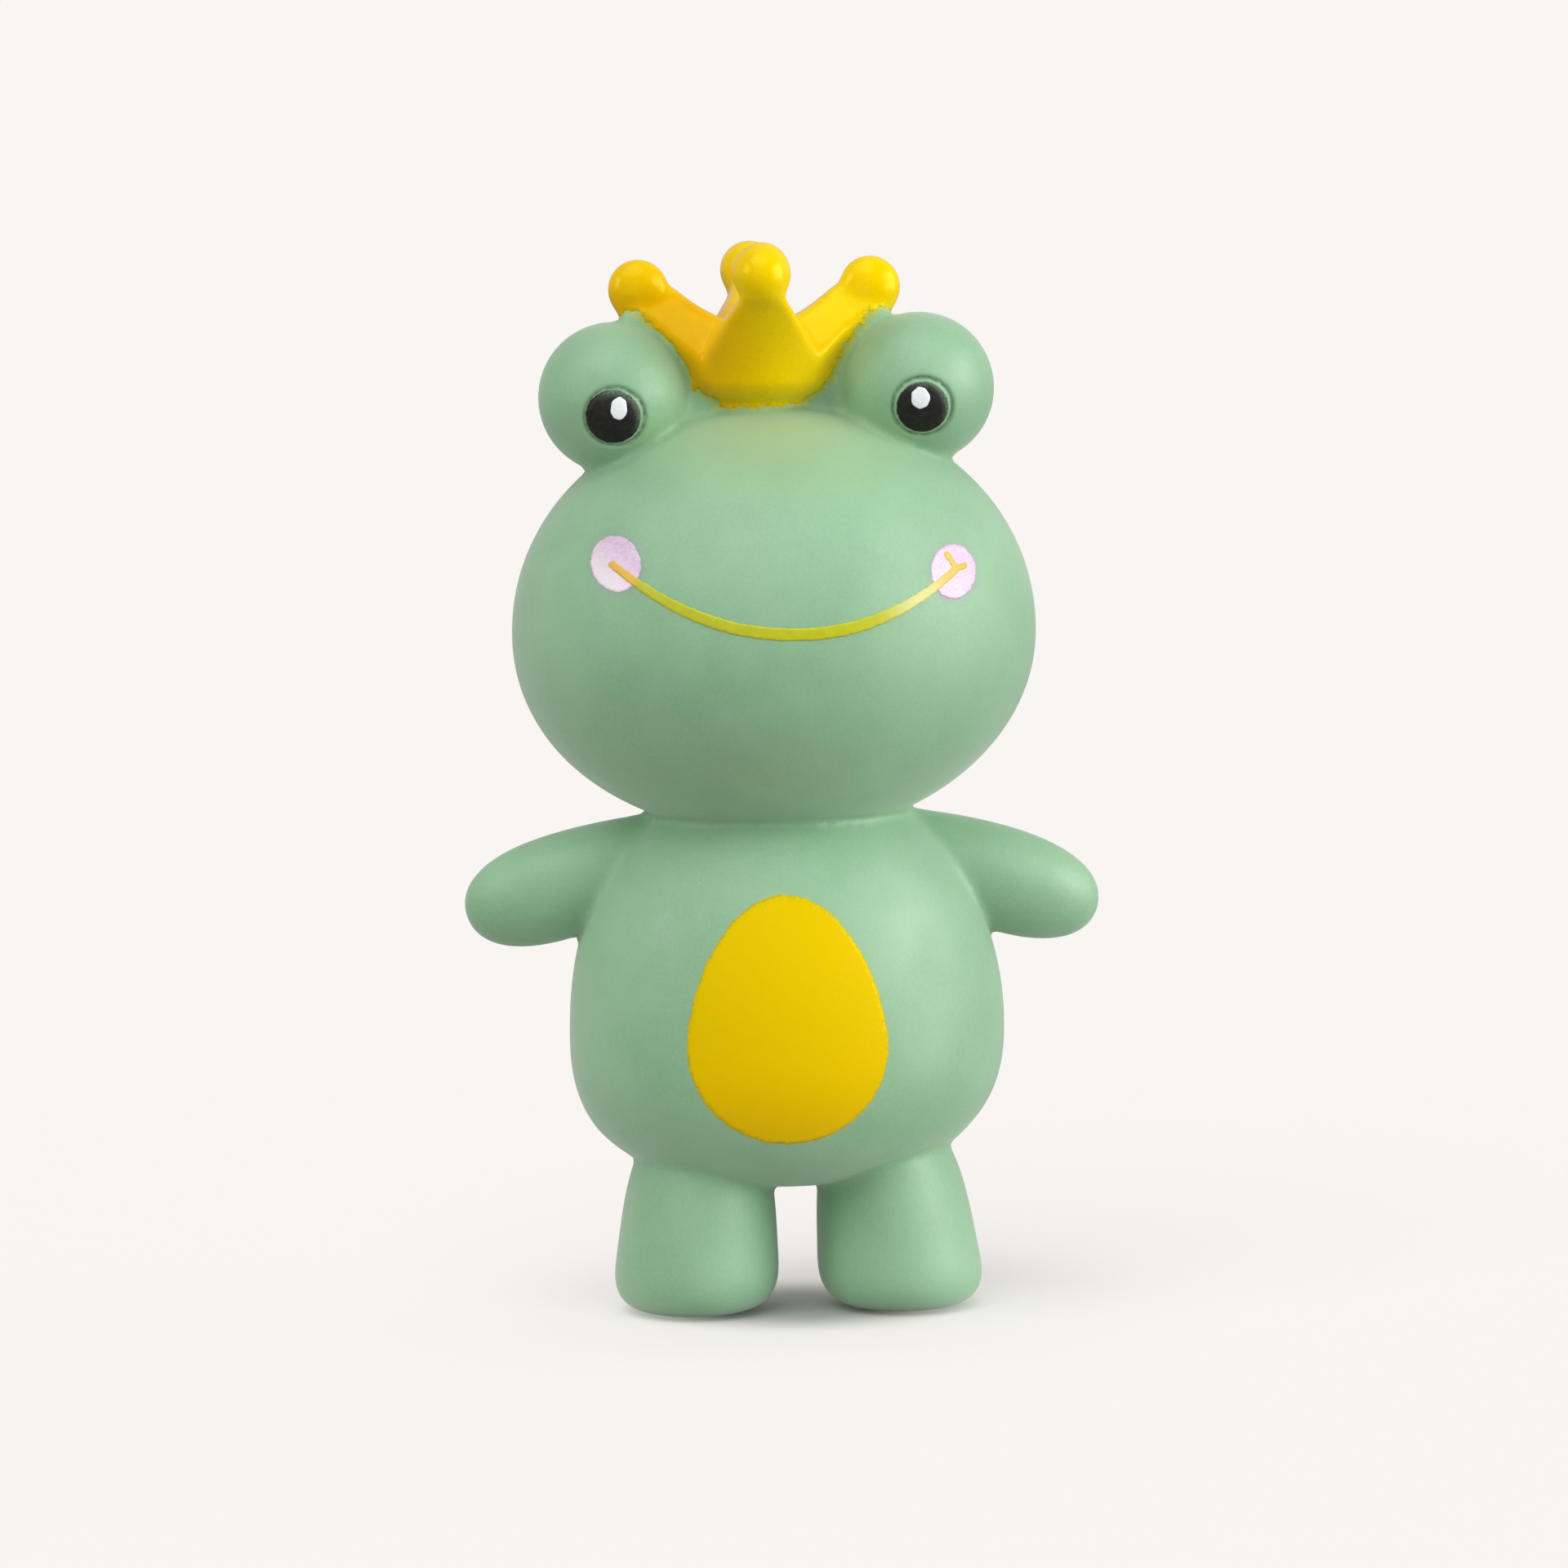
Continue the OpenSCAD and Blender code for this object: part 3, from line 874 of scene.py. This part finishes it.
def floor_material():
    """White paper that glows more and more towards the horizon, where it meets the air's colour.

    Its glow falls to 0.05 between the feet and rises through 0.42 at 24 mm to 0.695 from 60 mm: a
    painted contact shadow round the toy. Only the camera sees the full glow, so it hardly lights the
    toy.
    """
    s = Shader("studio_paper")
    length = s.nodes.new("ShaderNodeVectorMath")
    length.operation = "LENGTH"
    s.links.new(s.place, length.inputs[0])
    distance = length.outputs["Value"]
    # Painted contact shadow: the paper's glow drops to 0.05 under the toy
    glow_in_contact_shadow = s.ramp(distance, 0.009, 0.024, 0.05, CONTACT_SHADOW_GLOW)
    near = s.ramp(distance, 0.022, 0.06)
    far = s.ramp(distance, 0.12, 0.45)
    colour = s.mix(near, PAPER, PAPER_GLOWING)
    s.link(s.mix(far, colour, (0.0, 0.0, 0.0, 1.0)), "Base Color")
    glow = s.math("ADD", glow_in_contact_shadow, s.math("MULTIPLY", near, PAPER_GLOW - CONTACT_SHADOW_GLOW))
    glow = s.math("ADD", glow, s.math("MULTIPLY", far, 1.0 - PAPER_GLOW))
    seen = s.nodes.new("ShaderNodeLightPath").outputs["Is Camera Ray"]
    s.link(s.math("MULTIPLY", glow, s.ramp(seen, 0.0, 1.0, 0.3, 1.0)), "Emission Strength")
    s.set(Emission_Color=srgb(*PAPER_COLOUR), Roughness=1.0, Specular_IOR_Level=0.0)
    return s.material


# ---------------------------------------------------------------- the rubber moulding

def refine(obj, wanted):
    """Halves the edges whose two ends are wanted, given a function of the points in millimetres."""
    bm = bmesh.new()
    bm.from_mesh(obj.data)
    points = np.array([v.co[:] for v in bm.verts]) / MM
    keep = wanted(points)
    edges = [e for e in bm.edges if keep[e.verts[0].index] and keep[e.verts[1].index]]
    bmesh.ops.subdivide_edges(bm, edges=edges, cuts=1, use_grid_fill=True)
    bm.to_mesh(obj.data)
    bm.free()


def mesh_points(obj):
    flat = np.empty(len(obj.data.vertices) * 3)
    obj.data.vertices.foreach_get("co", flat)
    return flat.reshape(-1, 3).astype(float) / MM


def set_mesh_points(obj, points):
    obj.data.vertices.foreach_set("co", (points * MM).ravel().astype(np.float32))
    obj.data.update()


def near_crown(p):
    return (p[:, 2] > 114) & (crown_field(p) < 1.8)


def near_pupil(reach):
    def wanted(p):
        centre, across, up, out = pupil_frame()
        d = mirrored(p) - centre
        return (np.hypot(d @ across, d @ up) < reach) & ((d @ out) > 5)
    return wanted


def near_seat(p):
    radial = np.hypot(p[:, 0], p[:, 2] - SQUEAKER_Z)
    return (np.abs(radial - FLANGE_RADIUS) < 1.6) & (p[:, 1] > SEAT_Y - 1.5)


SKIN_STEP = 0.85


def build_skin():
    margin = 2.5
    lines = [grid_lines(BODY_LOW[a] - margin, BODY_HIGH[a] + margin, SKIN_STEP) for a in range(3)]
    lines[2] = lines[2] + 0.37 * SKIN_STEP
    points, quads = surface_nets(moulding_field, lines)
    points = relax(points, quads, moulding_field)
    skin = make_object("rubber_skin", points, quads.tolist())
    refine(skin, near_crown)
    refine(skin, near_pupil(5.2))
    refine(skin, near_pupil(4.7))
    refine(skin, near_seat)
    points = onto_surface(moulding_field, mesh_points(skin), 3, 0.3)
    set_mesh_points(skin, points)
    skin.data.shade_smooth()
    return skin, points


def crown_mask(p):
    """Below zero where the crown is painted; its edge follows the fillets to the head and the domes."""
    q = mirrored(p)
    rough = 0.16 * ripple(p[..., 0] + p[..., 1], p[..., 2] - p[..., 1], 2, 0.9)
    rough = rough + 0.10 * ripple(p[..., 0] - p[..., 2], p[..., 1] + p[..., 2], 5, 0.35)
    clear = np.minimum(ball(q, DOME_CENTRE, DOME_RADIUS) - 0.75, head_field(p) - 0.75)
    clear = np.minimum(clear, web_field(p) - 0.25)
    return np.maximum(np.maximum(-clear, crown_field(p) - 0.8), 116 - p[..., 2]) + rough


def crown_film(skin, points):
    """The crown's yellow film, taken from the skin's own faces and trimmed to its mask."""
    value = crown_mask(points)
    every = [face.vertices[:] for face in skin.data.polygons]
    chosen = [face for face in every if sum(value[v] < 0 for v in face) * 2 > len(face)]
    used = sorted({v for face in chosen for v in face})
    number = {v: k for k, v in enumerate(used)}
    faces = [tuple(number[v] for v in face) for face in chosen]
    p = points[used]
    directed = {(f[k], f[(k + 1) % len(f)]) for f in faces for k in range(len(f))}
    rim = [(a, b) for a, b in directed if (b, a) not in directed]
    edge = np.unique(np.array(rim).ravel())
    for _ in range(3):
        g = gradient(crown_mask, p[edge])
        step = crown_mask(p[edge])[:, None] * g / np.maximum((g * g).sum(-1, keepdims=True), 0.3)
        p[edge] -= np.clip(step, -0.12, 0.12)
        p = onto_surface(skin_field, p, 1)
    normals = unit_normals(skin_field, p)
    thickness = np.full(len(p), FILM)
    thickness[edge] = FILM * 0.3
    count = len(p)
    all_faces = faces + [tuple(v + count for v in reversed(f)) for f in faces]
    all_faces += [(b, a, a + count, b + count) for a, b in rim]
    sheets = np.concatenate([p + normals * thickness[:, None], p - normals * SUNK])
    film = make_object("crown_film", sheets, all_faces)
    film_attribute(film, "edge", np.clip(1 + crown_mask(p) / 0.9, 0, 1))
    # Painted shade on the crown: a deeper, more orange yellow towards the toy's right and lower down
    painted_shade = np.clip((-1 - p[:, 0]) / 9, 0.1, 1) * np.clip((137.5 - p[:, 2]) / 6, 0.4, 1)
    film_attribute(film, "painted_shade", painted_shade)
    return film


def fading(distance, reach):
    """1 inside a mask, and less and less outside it."""
    return np.exp(-np.maximum(distance, 0) / reach)


def skin_attributes(skin, p):
    """Where spray mist, the painted shade in the moulded ring groove and the warmer forehead lie on the
    green.
    """
    q = mirrored(p)
    centre, across, up, out = pupil_frame()
    d = q - centre
    radial = np.hypot(d @ across, d @ up)
    facing = (d @ out) > 6
    front = p[:, 1] < 0
    x, y, z = p.T
    crown = np.where(z > 112, fading(crown_mask(p), 0.45), 0.0)
    belly = np.where(front & (z < 60), fading(belly_mask(x, z), 0.35) * 0.7, 0.0)
    cheeks = [fading(cheek_mask(side)(x, z), 0.4) for side in CHEEK_X]
    # Where the painted shade lies along the ring groove
    groove = np.exp(-((radial - RING_RADIUS) / 0.22) ** 2)
    add_attribute(skin, "yellow_mist", np.maximum(crown, belly))
    add_attribute(skin, "pink_mist", np.where(front, np.maximum(*cheeks), 0.0))
    add_attribute(skin, "groove", np.where(facing, groove, 0.0))
    add_attribute(skin, "black_mist", np.where(facing, fading(radial - PUPIL_RADIUS, 0.22), 0.0))
    warm = np.clip((z - 106) / 10, 0, 1) * np.clip(-y / 12, 0, 1) * np.exp(-((x + 2) / 15) ** 2)
    warm = warm * np.clip((119 - z) / 3, 0, 1) * (q[:, 2] < 120)
    add_attribute(skin, "warm", warm)


skin, skin_points = build_skin()
skin_attributes(skin, skin_points)
skin.data.materials.append(green_rubber())

crown = crown_film(skin, skin_points)
crown.data.materials.append(yellow_paint("crown_yellow", *CROWN_YELLOW, 0.17, 0.25))

belly, belly_x, belly_z = paint_film("belly_film", belly_mask, (-16, 21), (14, 57), 0.35)
film_attribute(belly, "edge", np.clip(1 + belly_mask(belly_x, belly_z) / 0.5, 0, 1))
# Painted shade on the belly: a deeper yellow towards its bottom
film_attribute(belly, "painted_shade", np.clip((40 - belly_z) / 14, 0, 1))
belly.data.materials.append(yellow_paint("belly_yellow", *BELLY_YELLOW, 0.4, 0.5))

pearl = pearl_paint()
# Painted sheen on each cheek, whiter towards its outer, lower side, and strongest on the toy's right
# cheek
PAINTED_SHEEN_SHARE = {"left": 0.1, "right": 1.0}
cheek_films = {}
for side, cheek_x in CHEEK_X.items():
    low = (cheek_x - 5, CHEEK_Z[side] - 5)
    high = (cheek_x + 5, CHEEK_Z[side] + 5)
    film, px, pz = paint_film(f"{side}_cheek_film", cheek_mask(side), low, high, 0.18)
    from_middle = (px - cheek_x) * math.copysign(1, cheek_x)
    painted_sheen = np.clip(0.4 + (from_middle - pz + CHEEK_Z[side]) / 6, 0, 1)
    film_attribute(film, "painted_sheen", painted_sheen * PAINTED_SHEEN_SHARE[side])
    film.data.materials.append(pearl)
    cheek_films[side] = film

smile_corners = (-25, 86), (26, 102)
smile, smile_x, smile_z = paint_film("smile_film", smile_mask, *smile_corners, 0.16, lift=2 * FILM)
over_pink = np.zeros(len(smile_x))
for side in CHEEK_X:
    over_pink = np.maximum(over_pink, np.clip(0.6 - cheek_mask(side)(smile_x, smile_z), 0, 1))
film_attribute(smile, "over_pink", over_pink)
# Painted highlight on the smile, near the toy's left end
film_attribute(smile, "painted_gloss", np.exp(-((smile_x - 15.5) / 3.2) ** 2))
smile.data.materials.append(smile_material())

black = black_material()
white = white_material()
BLACK_DISCS = {"left": ((0.0, -0.05), 3.3), "right": ((-0.15, 0.05), 3.5)}
HIGHLIGHTS = {"left": ((-0.32, 1.35), 1.02, 0.9, 7), "right": ((0.56, 1.35), 1.14, 0.84, 11)}
pupil_films = {}
highlight_films = {}
for side, sign in (("left", 1), ("right", -1)):
    plane = pupil_plane(sign)
    mask = black_mask(*BLACK_DISCS[side])
    film, px, pz = paint_film(f"{side}_pupil_film", mask, (-4, -4), (4, 4), 0.14, plane)
    fade = np.clip((np.hypot(px, pz) - 2.5) / 0.8, 0, 1) * np.clip((px + pz) / 3.2, 0, 1)
    film_attribute(film, "fade", fade)
    film.data.materials.append(black)
    pupil_films[side] = film
    mask = highlight_mask(*HIGHLIGHTS[side])
    dot, *_ = paint_film(f"{side}_highlight_film", mask, (-3, -3), (3, 3), 0.1, plane, lift=2 * FILM)
    dot.data.materials.append(white)
    highlight_films[side] = dot


# ---------------------------------------------------------------- riding and replacing

def stands_for(piece, node):
    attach(piece, BODY)
    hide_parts(node)


stands_for(skin, "rubber_moulding")
stands_for(crown, "crown_paint")
stands_for(belly, "belly_paint")
stands_for(smile, "smile_paint")
for side in ("left", "right"):
    stands_for(cheek_films[side], f"{side}_cheek_paint")
    stands_for(pupil_films[side], f"{side}_pupil_paint")
    stands_for(highlight_films[side], f"{side}_eye_highlight")


# ---------------------------------------------------------------- squeaker finishes

def refinish(node, material):
    """Gives a CAD node a procedural finish."""
    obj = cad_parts[node]
    for slot in obj.material_slots:
        slot.link = "OBJECT"
        slot.material = material
    if not obj.material_slots:
        obj.data.materials.append(material)


plastic = moulded_plastic("squeaker_plastic", IVORY, srgb(220, 217, 206), 0.15)
film_plastic = moulded_plastic("reed_film", srgb(226, 226, 218), srgb(214, 214, 206), 0.3)
for node in ("squeaker_housing", "squeaker_cap", "reed_seat", "reed_wedge"):
    refinish(node, plastic)
for node in ("reed_root", "reed_tongue"):
    refinish(node, film_plastic)


# ---------------------------------------------------------------- studio

def build_floor():
    """A flat sheet of paper, 28 m wide, so that its far edge lies near the horizon."""
    half = 14.0 / MM
    corners = [(-half, -half, 0), (half, -half, 0), (half, half, 0), (-half, half, 0)]
    paper = make_object("paper", corners, [(0, 1, 2, 3)])
    paper.data.materials.append(floor_material())


def spare_the_paper(light):
    """Keeps a light off the paper, so that the paper stays even."""
    unlit = bpy.data.collections.new(light.name + "_unlit")
    unlit.objects.link(bpy.data.objects["paper"])
    light.light_linking.receiver_collection = unlit
    unlit.collection_objects[0].light_linking.link_state = "EXCLUDE"


def soft_light(name, place, target, size, power):
    """A rectangular softbox at place, turned towards target, in metres and watts."""
    data = bpy.data.lights.new(name, "AREA")
    data.shape = "RECTANGLE"
    data.size, data.size_y = size
    data.energy = power
    light = bpy.data.objects.new(name, data)
    bpy.context.scene.collection.objects.link(light)
    light.location = place
    aim = Vector(target) - Vector(place)
    light.rotation_euler = aim.to_track_quat("-Z", "Y").to_euler()
    spare_the_paper(light)


def build_world(seen, front, back):
    """Off-white air, seen at one strength; it lights the toy less from the front than from behind."""
    world = bpy.data.worlds.new("studio_air")
    bpy.context.scene.world = world
    world.use_nodes = True
    nodes, links = world.node_tree.nodes, world.node_tree.links
    sky = nodes["Background"]
    sky.inputs["Color"].default_value = srgb(*PAPER_COLOUR)
    way = nodes.new("ShaderNodeTexCoord")
    depth = nodes.new("ShaderNodeSeparateXYZ")
    links.new(way.outputs["Generated"], depth.inputs["Vector"])
    shade = nodes.new("ShaderNodeMapRange")
    shade.interpolation_type = "SMOOTHSTEP"
    set_range(shade, -1.0, 0.4, front, back)
    links.new(depth.outputs["Y"], shade.inputs["Value"])
    path = nodes.new("ShaderNodeLightPath")
    share = nodes.new("ShaderNodeMapRange")
    share.inputs["To Max"].default_value = seen
    links.new(path.outputs["Is Camera Ray"], share.inputs["Value"])
    links.new(shade.outputs["Result"], share.inputs["To Min"])
    links.new(share.outputs["Result"], sky.inputs["Strength"])


def direction(turn, rise):
    """Towards the viewer's side: turn 0 is -Y and grows towards +X, rise is above the horizon."""
    return Vector((math.sin(turn) * math.cos(rise), -math.cos(turn) * math.cos(rise), math.sin(rise)))


TARGET = Vector((-0.0006, 0.0, 0.0689))
CAMERA_DISTANCE = 0.9
CAMERA_YAW = math.radians(3.5)
CAMERA_RISE = math.radians(5.0)
CAMERA_ROLL = math.radians(1.0)
LENS = 158.0


def build_camera():
    data = bpy.data.cameras.new("photo_view")
    data.lens = LENS
    data.sensor_width = 36.0
    camera = bpy.data.objects.new("photo_view", data)
    bpy.context.scene.collection.objects.link(camera)
    back = direction(-CAMERA_YAW, CAMERA_RISE) * CAMERA_DISTANCE
    look = (-back).to_track_quat("-Z", "Y").to_matrix().to_4x4()
    roll = Matrix.Rotation(-CAMERA_ROLL, 4, "Z")
    camera.matrix_world = Matrix.Translation(TARGET + back) @ look @ roll
    bpy.context.scene.camera = camera


def low_sun(name, azimuth, elevation, spread, strength):
    """An even light from far away; azimuth 0 comes from the camera's side, 90 from the toy's left."""
    data = bpy.data.lights.new(name, "SUN")
    data.angle = math.radians(spread)
    data.energy = strength
    light = bpy.data.objects.new(name, data)
    bpy.context.scene.collection.objects.link(light)
    way = direction(math.radians(azimuth), math.radians(elevation))
    light.location = way
    light.rotation_euler = (-way).to_track_quat("-Z", "Y").to_euler()


bpy.context.scene.view_settings.view_transform = "Standard"
build_floor()
build_world(1.0, 0.14, 0.55)
low_sun("top_soft", -25, 60, 50, 1.15)
soft_light("front_fill", (-0.4, -1.06, 0.3), (0, 0, 0.08), (0.9, 0.9), 2.2)
soft_light("box_left", (-0.86, -0.36, 0.5), (0, 0, 0.1), (0.36, 0.45), 2.1)
soft_light("box_right", (0.91, -0.4, 0.36), (0, 0, 0.09), (0.8, 0.8), 9.8)
build_camera()
